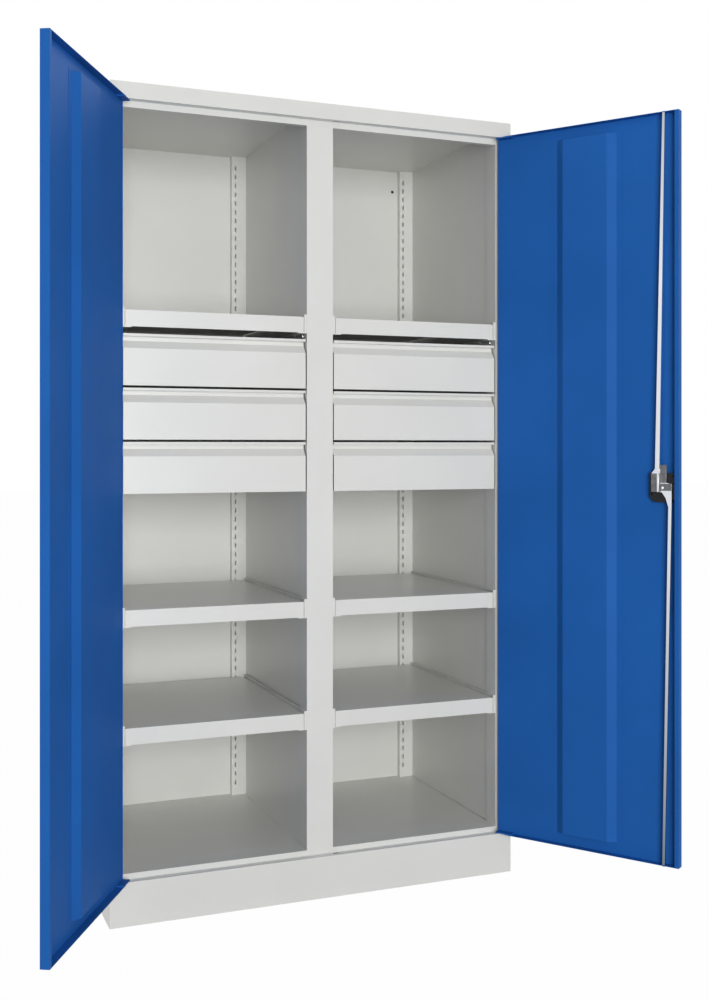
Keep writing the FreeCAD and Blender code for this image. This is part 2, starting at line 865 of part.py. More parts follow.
def build_door(side, sign):
    """Door pan with its flanges, hinge plates with their welded pins, and the wide hat that stiffens it."""
    away = -sign
    skin = -s.pivot_setback
    rim = s.door_depth - s.pivot_setback
    t = s.door_sheet
    hinge_edge = -s.hinge_overhang
    inner_edge = door_reach - t
    body = new_body(side + "_door_panel")
    block = [
        (hinge_edge, skin),
        (door_reach, skin),
        (door_reach, rim),
        (s.flange_corner, rim),
        (hinge_edge, skin + s.hinge_flange),
    ]
    sketch = new_sketch(body, "block", "XY_Plane", door_base)
    pad(body, outline(sketch, [(x * away, y) for x, y in block]), door_height)
    beyond = rim + s.overrun
    hollow = [
        (hinge_edge + t, skin + t),
        (inner_edge, skin + t),
        (inner_edge, rim - t),
        (inner_edge - s.door_return, rim - t),
        (inner_edge - s.door_return, beyond),
        (hinge_edge + t, beyond),
    ]
    sketch = new_sketch(body, "hollow", "XY_Plane", door_base + t)
    outline(sketch, [(x * away, y) for x, y in hollow])
    cut_to(body, sketch, door_height - t * 2, True)
    holes = new_sketch(body, "pin_holes", "XY_Plane")
    disc(holes, ZERO, ZERO, s.pin_radius)
    cut_through(body, holes)
    if side == "right":
        room = s.rod_tip_width / 2 + s.rod_clearance
        near = s.rod_depth - s.rod_thickness / 2 - s.rod_clearance - s.pivot_setback
        far = s.rod_depth + s.rod_thickness / 2 + s.rod_clearance - s.pivot_setback
        rod_x = lock_place * away
        for name, height in (("upper_rod_hole", door_top), ("lower_rod_hole", door_base)):
            hole = new_sketch(body, name, "XY_Plane", height - s.overrun)
            outline(hole, rectangle(rod_x - room, near, rod_x + room, far))
            cut_to(body, hole, s.overrun * 2, True)
        hole = new_sketch(body, "spindle_hole", "XZ_Plane")
        disc(hole, lock_place * away, s.lock_height, s.spindle_hole_radius)
        cut_through(body, hole)
    hang(body, side, side + "_door_panel")

    pins = []
    plates = []
    reach = s.door_gap + s.pin_engagement
    plate_sheet = s.hinge_plate_sheet
    for end, pin_base, plate_base in (
        ("upper", door_top - t, door_top - t - plate_sheet),
        ("lower", door_base - reach, door_base + t),
    ):
        pins.append(peg(f"{side}_{end}_pin", ZERO, ZERO, pin_base, s.pin_radius, t + reach))
        x0, x1 = (hinge_edge + t) * away, s.hinge_plate_length * away
        plate = new_body(f"{side}_{end}_hinge_plate")
        sketch = new_sketch(plate, "plate", "XY_Plane", plate_base)
        pad(plate, outline(sketch, rectangle(x0, skin + t, x1, rim)), plate_sheet)
        plates.append(plate)
    hang_group(side, side + "_hinge_pins", pins)
    hang_group(side, side + "_hinge_plates", plates)

    crown = s.stiffener_crown / 2
    slope = crown + s.stiffener_slope
    foot = slope + s.stiffener_flange
    low, high = skin + t * 2, skin + t + s.stiffener_depth
    middle = door_reach / 2
    path = [
        (middle - foot, low),
        (middle - slope, low),
        (middle - crown, high),
        (middle + crown, high),
        (middle + slope, low),
        (middle + foot, low),
    ]
    inner = [(x * away, y) for x, y in path]
    outer = [(x * away, y - t) for x, y in path]
    stiffener = new_body(side + "_door_stiffener")
    sketch = new_sketch(stiffener, "hat", "XY_Plane", door_base + s.stiffener_end_gap)
    pad(stiffener, outline(sketch, inner + outer[::-1]), door_height - s.stiffener_end_gap * 2)
    hang(stiffener, side, side + "_door_stiffener")


# Lock and handle on the right door, whose width runs towards -X from the pivot when it is closed


def on_door(depth_from_face):
    """Distance along the sketch normal (-Y) to a depth behind the door's outer face."""
    return s.pivot_setback - depth_from_face


def around_lock(points):
    """Points about the lock's axis, in the plane of the closed door."""
    return [(x - lock_place, s.lock_height + z) for x, z in points]


def spindle_square():
    """Section of the square spindle."""
    edge = s.spindle_side / 2
    return around_lock(rectangle(-edge, -edge, edge, edge))


def turned_disc(label, radius, near, far):
    """A round piece square to the door around the lock's axis, between two depths behind the face."""
    body = new_body(label)
    sketch = new_sketch(body, "round", "XZ_Plane", on_door(far))
    pad(body, disc(sketch, -lock_place, s.lock_height, radius), far - near)
    return body


def lock_plate(label, points, near, far):
    """A flat piece around the lock's axis, between two depths behind the face."""
    body = new_body(label)
    sketch = new_sketch(body, "outline", "XZ_Plane", on_door(far))
    pad(body, outline(sketch, around_lock(points)), far - near)
    return body


def spindle_hole(body):
    """The round hole that the square spindle turns in."""
    hole = new_sketch(body, "spindle_hole", "XZ_Plane")
    cut_through(body, disc(hole, -lock_place, s.lock_height, s.spindle_hole_radius))


def round_edges(body, feature, direction, radius):
    """Fillets a feature's edges that run in one direction."""
    doc.recompute()
    names = []
    for index, edge in enumerate(feature.Shape.Edges, start=1):
        if isinstance(edge.Curve, Part.Line) and edge.Curve.Direction.isParallel(direction, PARALLEL):
            names.append(f"Edge{index}")
    fillet = body.newObject("PartDesign::Fillet", "corners")
    fillet.Base = (feature, names)
    bind(fillet, "Radius", radius)
    return fillet


def build_lock():
    side = "right"
    t = s.door_sheet
    case_back = t + s.case_depth
    left, right = s.case_shift - s.case_width / 2, s.case_shift + s.case_width / 2
    tall, corner = s.case_height / 2, s.case_corner
    points = [
        (left, corner - tall),
        (left + corner, -tall),
        (right - corner, -tall),
        (right, corner - tall),
        (right, tall),
        (left, tall),
    ]
    case = lock_plate("lock_case", points, t, case_back)
    spindle_hole(case)
    hang(case, side, "lock_case")

    cam_near = case_back + s.cam_clearance
    cam_far = cam_near + s.cam_sheet
    link_far = cam_far + (s.cam_clearance + s.link_sheet) * 2
    reach, middle, tip = s.cam_reach, s.cam_middle, s.cam_tip
    points = [
        (-reach, -tip),
        (-middle, -middle),
        (middle, -middle),
        (reach, -tip),
        (reach, tip),
        (middle, middle),
        (-middle, middle),
        (-reach, tip),
    ]
    cam = lock_plate("lock_cam", points, cam_near, cam_far)
    square = new_sketch(cam, "spindle_square", "XZ_Plane")
    cut_through(cam, outline(square, spindle_square()))
    crank_pins = new_sketch(cam, "crank_pins", "XZ_Plane", on_door(link_far))
    for offset in (s.crank, -s.crank):
        disc(crank_pins, -lock_place + offset, s.lock_height, s.crank_pin_radius)
    pad(cam, crank_pins, link_far - cam_far)
    hang(cam, side, "lock_cam")

    upper_near = cam_far + s.cam_clearance
    lower_near = upper_near + s.link_sheet + s.cam_clearance
    edge = s.link_margin + s.crank_pin_radius
    half = s.upper_rod_width / 2
    points = [
        (-edge, -s.link_tail),
        (s.upper_link_edge, -s.link_tail),
        (s.upper_link_edge, s.upper_link_shoulder),
        (s.rod_offset + half, s.link_root),
        (s.link_tab_edge, s.link_root),
        (s.link_tab_edge, s.link_tab_top),
        (-edge, s.link_tab_top),
    ]
    build_rod("upper_rod", 1, upper_near, points, half)
    half = s.lower_rod_width / 2
    points = [
        (-edge, -s.link_tail),
        (s.lower_link_edge, -s.link_tail),
        (s.lower_link_edge, s.link_root),
        (s.rod_offset - half, s.link_root),
        (s.link_neck_edge, s.link_neck),
        (-edge, s.link_waist),
    ]
    build_rod("lower_rod", -1, lower_near, points, half)


def build_rod(label, upwards, near, link, half_root):
    """Flat locking bar on the link that a crank pin drives. It leans from the cam's side to its middle."""
    body = new_body(label)
    sketch = new_sketch(body, "link", "XZ_Plane", on_door(near + s.link_sheet))
    pad(body, outline(sketch, around_lock([(x * upwards, z * upwards) for x, z in link])), s.link_sheet)
    end = door_top + s.rod_protrusion if upwards > 0 else door_base - s.rod_protrusion
    root = s.lock_height + (s.link_root - s.link_tail) * upwards
    root_x = s.rod_offset * upwards - lock_place
    half_tip = s.rod_tip_width / 2
    bar = new_sketch(body, "bar", "XZ_Plane", on_door(s.rod_depth + s.rod_thickness / 2))
    points = [
        (root_x - half_root, root),
        (root_x + half_root, root),
        (half_tip - lock_place, end),
        (-half_tip - lock_place, end),
    ]
    pad(body, outline(bar, points), s.rod_thickness)
    slot = new_sketch(body, "crank_slot", "XZ_Plane")
    reach = s.crank_pin_radius + s.rod_clearance
    play = s.crank_pin_radius + s.crank_slot_play
    x0, x1 = -reach * upwards, (s.crank + reach) * upwards
    cut_through(body, outline(slot, around_lock(rectangle(x0, -play, x1, play))))
    hang(body, "right", label)


def build_handle():
    side = "right"
    wide, tall, corner = s.rosette_width / 2, s.rosette_height / 2, s.rosette_corner
    points = [
        (corner - wide, -tall),
        (wide - corner, -tall),
        (wide, corner - tall),
        (wide, tall - corner),
        (wide - corner, tall),
        (corner - wide, tall),
        (-wide, tall - corner),
        (-wide, corner - tall),
    ]
    rosette = lock_plate("handle_rosette", points, -s.rosette_depth, ZERO)
    spindle_hole(rosette)
    hang(rosette, side, "handle_rosette")

    hub_near = -s.rosette_depth - s.hub_clearance
    hub_far = hub_near - s.hub_reach
    handle = turned_disc("handle", s.hub_radius, hub_far, hub_near)
    wing = new_sketch(handle, "wing", "XZ_Plane", on_door(hub_far))
    x, z = -lock_place, s.lock_height
    reach, middle, tip = s.wing_length / 2, s.wing_middle / 2, s.wing_tip / 2
    points = [
        (x - tip, z - reach),
        (x + tip, z - reach),
        (x + middle, z),
        (x + tip, z + reach),
        (x - tip, z + reach),
        (x - middle, z),
    ]
    grip = pad(handle, outline(wing, points), s.wing_depth)
    round_edges(handle, grip, FreeCAD.Vector(0, 1, 0), s.wing_corner)
    socket = new_sketch(handle, "spindle_socket", "XZ_Plane", on_door(hub_near))
    cut_to(handle, outline(socket, spindle_square()), s.hub_socket, True)
    wing_face = hub_far - s.wing_depth
    key_bore = new_sketch(handle, "key_bore", "XZ_Plane", on_door(wing_face))
    disc(key_bore, x, z, s.key_radius + s.key_clearance)
    cut_to(handle, key_bore, s.key_length)
    hang(handle, side, "handle")

    key_near = wing_face - s.key_proud
    key = turned_disc("key_cylinder", s.key_radius, key_near, wing_face + s.key_length)
    keyway = new_sketch(key, "keyway", "XZ_Plane", on_door(key_near))
    half_long, half_wide = s.keyway_length / 2, s.keyway_width / 2
    outline(keyway, rectangle(x - half_wide, z - half_long, x + half_wide, z + half_long))
    cut_to(key, keyway, s.keyway_depth)
    hang(key, side, "key_cylinder")

    spindle_near = hub_near - s.hub_socket
    cam_far = s.door_sheet + s.case_depth + s.cam_clearance + s.cam_sheet
    edge = s.spindle_side / 2
    spindle = lock_plate("spindle", rectangle(-edge, -edge, edge, edge), spindle_near, cam_far)
    hang(spindle, side, "spindle")


build_plinth()
build_floor()
build_back()
build_top()
build_partition()
build_uprights()
build_shelves()
for side, sign in SIDES:
    build_side(side, sign)
    build_inner_wall(side, sign)
    build_carcass_runners(side, sign)
    build_door(side, sign)
    for number in DRAWERS:
        build_drawer(side, sign, number)
build_lock()
build_handle()

doc.recompute()

# Every object has to be sound before anything is written
for obj in doc.Objects:
    if "Invalid" in obj.State or "Error" in obj.State:
        raise RuntimeError(f"{obj.Label} failed: {obj.State}")
for obj in nodes:
    if obj.Shape.isNull() or not obj.Shape.isValid() or not obj.Shape.Solids:
        raise RuntimeError(f"{obj.Label} has no sound solid")

os.makedirs("parts", exist_ok=True)
for obj in nodes:
    obj.Shape.exportStep(f"parts/{obj.Label}.step")
    print(obj.Label, len(obj.Shape.Solids), round(obj.Shape.Volume), obj.Shape.BoundBox)
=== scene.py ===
"""Looks of a heavy-duty storage cabinet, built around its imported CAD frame.

The steel pieces keep the frame's own solids and get their finishes here. Fasteners, washers, plugs, the
keeper's cup and the lock's castings, which the frame leaves out, are surfaces worked out with numpy. Each
rides on the body that carries it.
"""

import json
import logging
import math
from dataclasses import dataclass
from enum import Enum
from typing import Any

import bmesh
import bpy
import numpy as np
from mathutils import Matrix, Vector

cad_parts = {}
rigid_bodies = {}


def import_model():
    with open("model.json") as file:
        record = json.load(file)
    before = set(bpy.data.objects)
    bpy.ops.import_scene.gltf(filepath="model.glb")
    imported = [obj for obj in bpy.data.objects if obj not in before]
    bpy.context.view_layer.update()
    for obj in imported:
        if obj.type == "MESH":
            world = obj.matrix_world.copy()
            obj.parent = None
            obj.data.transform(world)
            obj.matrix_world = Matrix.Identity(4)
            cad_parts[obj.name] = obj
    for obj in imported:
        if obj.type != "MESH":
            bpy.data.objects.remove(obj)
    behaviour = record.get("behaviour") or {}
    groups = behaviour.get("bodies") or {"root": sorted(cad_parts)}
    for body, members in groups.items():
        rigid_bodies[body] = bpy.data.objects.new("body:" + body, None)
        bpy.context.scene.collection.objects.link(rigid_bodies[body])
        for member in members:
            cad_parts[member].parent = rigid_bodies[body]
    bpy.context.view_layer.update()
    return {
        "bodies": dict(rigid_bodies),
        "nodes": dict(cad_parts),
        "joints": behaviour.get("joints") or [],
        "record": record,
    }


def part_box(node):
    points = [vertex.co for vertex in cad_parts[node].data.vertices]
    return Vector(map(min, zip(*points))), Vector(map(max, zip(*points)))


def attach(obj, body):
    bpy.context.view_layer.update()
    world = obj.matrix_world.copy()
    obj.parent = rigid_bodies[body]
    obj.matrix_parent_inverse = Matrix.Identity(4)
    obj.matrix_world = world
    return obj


LOG = logging.getLogger("cabinet")
MM = 0.001
SIDES = ("left", "right")
UP = np.array([0.0, 0.0, 1.0])
ACROSS = np.array([1.0, 0.0, 0.0])
BACKWARDS = np.array([0.0, 1.0, 0.0])

WHITE = (1.0, 1.0, 1.0, 1.0)

# The sRGB curve: full scale of a byte, end and slope of its straight foot, offset and power above it.
BYTE = 255
SRGB_KNEE = 0.04045
SRGB_SLOPE = 12.92
SRGB_OFFSET = 0.055
SRGB_POWER = 2.4

# Vertices of one closed surface, and the corners of each of its faces.
Shell = tuple[np.ndarray, list[list[int]]]


class Slot(Enum):
    """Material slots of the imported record."""

    BODY_GREY = "body_grey"
    DOOR_BLUE = "door_blue"
    ZINC = "zinc"
    LOCK_BLACK = "lock_black"
    CHROME = "chrome"


class Grain(Enum):
    """How a surface was made, which decides the pattern that it carries."""

    ORANGE_PEEL = "sprayed powder that flowed in the oven"
    BRUSHED = "drawn wire and rolled strip under zinc"
    MOULDED = "fine spark-eroded mould texture"
    SATIN = "tumbled and plated casting"


def linear(colour: str) -> tuple[float, float, float, float]:
    """Turns an sRGB hex colour into linear RGBA.

    Args:
        colour: six hex digits after a hash sign.

    Returns:
        Linear red, green and blue, with an alpha of one.
    """
    shares = [int(colour[start:start + 2], 16) / BYTE for start in (1, 3, 5)]
    red, green, blue = (
        share / SRGB_SLOPE
        if share <= SRGB_KNEE
        else ((share + SRGB_OFFSET) / (1 + SRGB_OFFSET)) ** SRGB_POWER
        for share in shares
    )
    return red, green, blue, 1.0


def add_node(
    tree: bpy.types.NodeTree,
    kind: str,
    values: dict[str | int, Any] | None = None,
    links: dict[str | int, bpy.types.NodeSocket] | None = None,
    **settings: Any,
) -> bpy.types.Node:
    """Adds one node with its settings, socket values and links.

    Args:
        tree: node tree that gets the node.
        kind: Blender's type name of the node.
        values: socket name or number and the value that it gets.
        links: socket name or number and the output that feeds it.
        settings: attributes of the node itself.

    Returns:
        The new node.
    """
    node = tree.nodes.new(kind)
    for attribute, value in settings.items():
        setattr(node, attribute, value)
    for socket, value in (values or {}).items():
        node.inputs[socket].default_value = value
    for socket, source in (links or {}).items():
        tree.links.new(source, node.inputs[socket])
    return node


# A brushed grain is drawn out along the height; the others are the same in every direction.
STREAKED = (1.0, 1.0, 0.06)
EVEN = (1.0, 1.0, 1.0)
# Octaves of the fine grain, how fast they fade and how strongly they lift the surface.
GRAIN_DETAIL = 2.0
GRAIN_FADE = 0.5
GRAIN_STRENGTH = 0.5
# Octaves of the colour's slow drift, and the part of its range over which one colour turns into the other.
CLOUD_DETAIL = 3.0
CLOUD_SPAN = (0.35, 0.65)


@dataclass(frozen=True)
class Finish:
    """One real surface: its colour, gloss and the pattern left by how it was made.

    The last field lists heights in metres, each with how far the colour has gone there from `shade` to
    `colour`; this paints light and shade along the height. Without it the colour drifts between the two in
    clouds.
    """

    name: str
    slot: Slot
    colour: str
    shade: str
    roughness: float
    grain: Grain
    grain_mm: float
    relief_mm: float
    metallic: float = 0.0
    ior: float = 1.5
    specular: float = 0.5
    cloud_mm: float = 260.0
    # Painted light and shade: heights in metres and how far the colour is lit there from shade to colour.
    painted_lighting: tuple[tuple[float, float], ...] = ()

    def clouded(
        self, tree: bpy.types.NodeTree, place: bpy.types.NodeSocket
    ) -> bpy.types.NodeSocket:
        """Adds a colour that drifts between its two values over `cloud_mm`.

        Args:
            tree: node tree of the material.
            place: coordinates on the object.

        Returns:
            The colour's output.
        """
        cloud = add_node(
            tree,
            "ShaderNodeTexNoise",
            {"Scale": 1 / (self.cloud_mm * MM), "Detail": CLOUD_DETAIL},
            {"Vector": place},
        )
        colour = add_node(tree, "ShaderNodeValToRGB", links={"Fac": cloud.outputs["Fac"]})
        ends = zip(colour.color_ramp.elements, CLOUD_SPAN, (self.shade, self.colour))
        for stop, share, paint in ends:
            stop.position = share
            stop.color = linear(paint)
        return colour.outputs["Color"]

    def banded(
        self, tree: bpy.types.NodeTree, place: bpy.types.NodeSocket
    ) -> bpy.types.NodeSocket:
        """Adds painted light and shade up the height: the colour goes from `shade` towards `colour` and back
        at the listed heights.

        Args:
            tree: node tree of the material.
            place: coordinates on the object.

        Returns:
            The colour's output.
        """
        levels, shares = np.array(self.painted_lighting).T
        height = add_node(tree, "ShaderNodeSeparateXYZ", links={"Vector": place}).outputs["Z"]
        rise = add_node(
            tree,
            "ShaderNodeMapRange",
            {"From Min": levels[0], "From Max": levels[-1]},
            {"Value": height},
        )
        colour = add_node(tree, "ShaderNodeValToRGB", links={"Fac": rise.outputs["Result"]})
        dull, bright = np.array(linear(self.shade)), np.array(linear(self.colour))
        paints = dull + (bright - dull) * shares[:, None]
        stops = colour.color_ramp.elements
        stops[0].color, stops[1].color = paints[0], paints[-1]
        places = (levels - levels[0]) / (levels[-1] - levels[0])
        for share, paint in zip(places[1:-1], paints[1:-1]):
            stops.new(share).color = paint
        return colour.outputs["Color"]

    def material(self) -> bpy.types.Material:
        """Builds the material once and gives the same one afterwards.

        Fine noise of `grain_mm` lifts the surface by `relief_mm`. A brushed grain is stretched along the
        height.

        Returns:
            The finished material.
        """
        known = bpy.data.materials.get(self.name)
        if known:
            return known
        material = bpy.data.materials.new(self.name)
        material.use_nodes = True
        tree = material.node_tree
        tree.nodes.clear()
        place = add_node(tree, "ShaderNodeTexCoord").outputs["Object"]
        stretch = STREAKED if self.grain is Grain.BRUSHED else EVEN
        fine = add_node(
            tree, "ShaderNodeMapping", {"Scale": stretch}, {"Vector": place}
        ).outputs["Vector"]
        grain = add_node(
            tree,
            "ShaderNodeTexNoise",
            {"Scale": 1 / (self.grain_mm * MM), "Detail": GRAIN_DETAIL, "Roughness": GRAIN_FADE},
            {"Vector": fine},
        )
        # Colour with painted light and shade by height where the finish lists heights, else clouds of tone.
        colour = self.banded(tree, place) if self.painted_lighting else self.clouded(tree, place)
        bump = add_node(
            tree,
            "ShaderNodeBump",
            {"Strength": GRAIN_STRENGTH, "Distance": self.relief_mm * MM},
            {"Height": grain.outputs["Fac"]},
        )
        shader = add_node(
            tree,
            "ShaderNodeBsdfPrincipled",
            {
                "Metallic": self.metallic,
                "Roughness": self.roughness,
                "IOR": self.ior,
                "Specular IOR Level": self.specular,
            },
            {"Base Color": colour, "Normal": bump.outputs["Normal"]},
        )
        add_node(tree, "ShaderNodeOutputMaterial", links={"Surface": shader.outputs["BSDF"]})
        return material


# Polyester powder coat on steel sheet: soft sheen, a faint ripple, the same colour right into the folds.
GREY_COAT = Finish(
    name="light_grey_powder_coat",
    slot=Slot.BODY_GREY,
    colour="#DDDDD9",
    shade="#D9D9D5",
    roughness=0.3,
    grain=Grain.ORANGE_PEEL,
    grain_mm=2.6,
    relief_mm=0.04,
)
# The doors' coat is deep and even, and mirrors little of a white room.
BLUE_COAT = Finish(
    name="gentian_blue_powder_coat",
    slot=Slot.DOOR_BLUE,
    colour="#2060AE",
    shade="#1E5CA7",
    roughness=0.6,
    grain=Grain.ORANGE_PEEL,
    grain_mm=2.6,
    relief_mm=0.04,
    specular=0.1,
)
# Bright zinc plating: a cold, slightly streaked metal with blurred reflections.
ZINC_PLATE = Finish(
    name="bright_zinc_plate",
    slot=Slot.ZINC,
    colour="#F0F1F3",
    shade="#E4E6E9",
    roughness=0.3,
    grain=Grain.BRUSHED,
    grain_mm=1.2,
    relief_mm=0.03,
    metallic=1.0,
    cloud_mm=40.0,
)
# The locking bars' zinc plating with painted light and shade: bright by the lock, painted darker towards the
# ends that slide in slots.
ZINC_WITH_PAINTED_SHADE = Finish(
    name="zinc_plate_with_painted_shade",
    slot=Slot.ZINC,
    colour="#F1F4F8",
    shade="#76808D",
    roughness=0.3,
    grain=Grain.BRUSHED,
    grain_mm=1.2,
    relief_mm=0.03,
    metallic=1.0,
    # Painted shade, darkest at the foot and half way at the top; painted light, brightest about 1.5 m up.
    painted_lighting=((0.1, 0.0), (0.8, 0.84), (1.5, 1.0), (1.9, 0.47)),
)
# Zinc die casting as it leaves the mould: dull grey metal with a fine skin.
CAST_ZINC = Finish(
    name="dull_cast_zinc",
    slot=Slot.ZINC,
    colour="#858585",
    shade="#6E6F70",
    roughness=0.42,
    grain=Grain.SATIN,
    grain_mm=1.6,
    relief_mm=0.08,
    metallic=1.0,
    cloud_mm=12.0,
)
# Glass-filled nylon: matt black, a fine mould texture.
BLACK_NYLON = Finish(
    name="moulded_black_nylon",
    slot=Slot.LOCK_BLACK,
    colour="#1B1B1D",
    shade="#161618",
    roughness=0.5,
    grain=Grain.MOULDED,
    grain_mm=0.9,
    relief_mm=0.06,
    specular=0.3,
    cloud_mm=60.0,
)
# Satin nickel on a zinc casting: even, soft metal gloss.
NICKEL = Finish(
    name="satin_nickel_plate",
    slot=Slot.CHROME,
    colour="#CFCBC4",
    shade="#C6C2BB",
    roughness=0.26,
    grain=Grain.SATIN,
    grain_mm=0.8,
    relief_mm=0.02,
    metallic=1.0,
    cloud_mm=30.0,
)
# Screws with a black oxide skin: dark metal with little gloss.
BLACK_STEEL = Finish(
    name="blackened_steel",
    slot=Slot.LOCK_BLACK,
    colour="#2B2B2D",
    shade="#232325",
    roughness=0.4,
    grain=Grain.SATIN,
    grain_mm=0.6,
    relief_mm=0.02,
    metallic=1.0,
    cloud_mm=10.0,
)


# Steps round a turned piece, over a rivet head and over a rounded edge; the gap that closes a pole; the angle
# of a sharp edge.
ROUND_STEPS = 18
DOME_STEPS = 6
EDGE_STEPS = 2
MERGE = 0.001 * MM
SHARP = math.radians(35)


def surface(points: np.ndarray, wrap_u: bool, wrap_v: bool) -> Shell:
    """Turns a grid of points into vertices and quads.

    Args:
        points: array of shape (u, v, 3).
        wrap_u: joins the last row to the first.
        wrap_v: joins the last column to the first.

    Returns:
        Vertices of shape (n, 3), and the quads' corners.
    """
    rows, columns = points.shape[:2]
    index = np.arange(rows * columns).reshape(rows, columns)
    if wrap_u:
        index = np.concatenate([index, index[:1]], axis=0)
    if wrap_v:
        index = np.concatenate([index, index[:, :1]], axis=1)
    quads = (index[:-1, :-1], index[1:, :-1], index[1:, 1:], index[:-1, 1:])
    return points.reshape(-1, 3), np.stack(quads, axis=-1).reshape(-1, 4).tolist()


def turned(profile: np.ndarray, centre: np.ndarray, axis: np.ndarray, ring: bool = False) -> Shell:
    """A profile carried round an axis: point(u, a) = centre + axis h(u) + r(u) (side cos a + up sin a).

    Args:
        profile: radius and height of each point, in metres.
        centre: foot of the axis.
        axis: direction of the height.
        ring: the profile is a closed loop; otherwise it starts and ends on the axis.

    Returns:
        Vertices and faces.
    """
    axis = axis / np.linalg.norm(axis)
    side = np.cross(ACROSS if abs(axis[0]) < abs(axis[2]) else UP, axis)
    side /= np.linalg.norm(side)
    angle = np.linspace(0, 2 * math.pi, ROUND_STEPS, endpoint=False)
    circle = np.cos(angle)[:, None] * side + np.sin(angle)[:, None] * np.cross(axis, side)
    return surface(centre + axis * profile[:, None, 1:] + circle[None] * profile[:, None, :1], ring, True)


def carried(
    profile: np.ndarray, start: np.ndarray, path: np.ndarray, up: np.ndarray, out: np.ndarray
) -> Shell:
    """A closed profile carried along a straight path: point(k, i) = start + path k + up a(i) + out b(i).

    Args:
        profile: height and depth of each point of the outline, in metres.
        start: where the path begins.
        path: vector from its beginning to its end.
        up: direction of the profile's height.
        out: direction of its depth.

    Returns:
        Vertices and faces, with both ends closed.
    """
    flat = profile[:, :1] * up + profile[:, 1:] * out
    points, faces = surface(np.stack([start + flat, start + path + flat]), False, True)
    count = len(profile)
    return points, faces + [list(range(count)), list(range(count, 2 * count))]


def dome(radius: float, height: float) -> np.ndarray:
    """Profile of a rivet or screw head: a flat foot from the axis, then a quarter ellipse back to it.

    Args:
        radius: radius of the foot.
        height: height of the head.

    Returns:
        Radius and height of each point.
    """
    turn = np.linspace(0, math.pi / 2, DOME_STEPS)
    arc = np.stack([radius * np.cos(turn), height * np.sin(turn)], axis=1)
    arc[-1, 0] = 0.0
    return np.concatenate([np.zeros((1, 2)), arc])


def bridge(low: float, foot: float, high: float, base: float, roof: float, top: float) -> np.ndarray:
    """Profile of a cast block: a foot from `foot` to `high`, and from it a roof that reaches down to `low`.

    Args:
        low: lower end of the roof.
        foot: lower end of the foot.
        high: upper end of both.
        base: depth of the foot's face.
        roof: depth of the roof's inner face.
        top: depth of the outer face.

    Returns:
        Height and depth of the six corners.
    """
    return np.array([(low, roof), (foot, roof), (foot, base), (high, base), (high, top), (low, top)])


def slab(low: float, high: float, base: float, top: float) -> np.ndarray:
    """Profile of a plain slab: a rectangle between two heights and two depths.

    Args:
        low: lower end.
        high: upper end.
        base: depth of the inner face.
        top: depth of the outer face.

    Returns:
        Height and depth of the four corners.
    """
    return np.array([(low, base), (high, base), (high, top), (low, top)])


def cup(rim: np.ndarray, width: float, depth: float, drop: float, wall: float) -> Shell:
    """A rectangular cup, open at the top: rings of four corners from its outer floor to its inner one.

    Args:
        rim: middle of the opening.
        width: inner size across.
        depth: inner size backwards.
        drop: inner height.
        wall: thickness of the walls and the floor.

    Returns:
        Vertices and faces.
    """
    inner = np.array([width, depth]) / 2
    outer = inner + wall
    foot = -drop - wall
    axis = np.zeros(2)
    rings = ((axis, foot), (outer, foot), (outer, 0.0), (inner, 0.0), (inner, -drop), (axis, -drop))
    ways = np.array([(-1, -1), (1, -1), (1, 1), (-1, 1)])
    loops = [np.column_stack([ways * half, np.full(len(ways), height)]) for half, height in rings]
    return surface(rim + np.stack(loops), False, True)


def new_piece(
    name: str, shells: list[Shell], finish: Finish, body: str, rounding: float = 0.0
) -> bpy.types.Object:
    """Makes one object from closed surfaces and lets it ride on a body.

    Args:
        name: name of the object.
        shells: vertices and faces of each surface.
        finish: finish that covers the piece.
        body: CAD body that carries it.
        rounding: radius of its rounded edges.

    Returns:
        The finished object, at the origin with its place in its mesh.
    """
    offsets = np.cumsum([0] + [len(points) for points, _ in shells[:-1]]).tolist()
    points = np.concatenate([points for points, _ in shells])
    faces = [
        [corner + offset for corner in face] for (_, own), offset in zip(shells, offsets) for face in own
    ]
    mesh = bpy.data.meshes.new(name)
    mesh.from_pydata(points.tolist(), [], faces)
    work = bmesh.new()
    work.from_mesh(mesh)
    bmesh.ops.remove_doubles(work, verts=work.verts, dist=MERGE)
    bmesh.ops.recalc_face_normals(work, faces=work.faces)
    work.to_mesh(mesh)
    work.free()
    mesh.validate()
    mesh.shade_smooth()
    mesh.set_sharp_from_angle(angle=SHARP)
    mesh.materials.append(finish.material())
    piece = bpy.data.objects.new(name, mesh)
    bpy.context.scene.collection.objects.link(piece)
    if rounding:
        bevel = piece.modifiers.new("rounded_edges", "BEVEL")
        bevel.width = rounding
        bevel.segments = EDGE_STEPS
        bevel.limit_method = "ANGLE"
    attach(piece, body)
    LOG.info("%s rides on %s", name, body)
    return piece


@dataclass
class SubAssembly:
    """CAD nodes that belong together, and the small pieces fixed to them."""

    frame: dict[str, Any]

    def finishes(self) -> dict[str, Finish]:
        """Names each CAD node of the sub-assembly.

        Returns:
            The finish of each node.
        """
        raise NotImplementedError

    def dress(self) -> None:
        """Gives each CAD node its finish."""
        for name, finish in self.finishes().items():
            mesh = self.frame["nodes"][name].data
            mesh.materials.clear()
            mesh.materials.append(finish.material())
            LOG.info("%s is finished in %s", name, finish.name)

    def build(self) -> None:
        """Adds the small pieces."""
        raise NotImplementedError


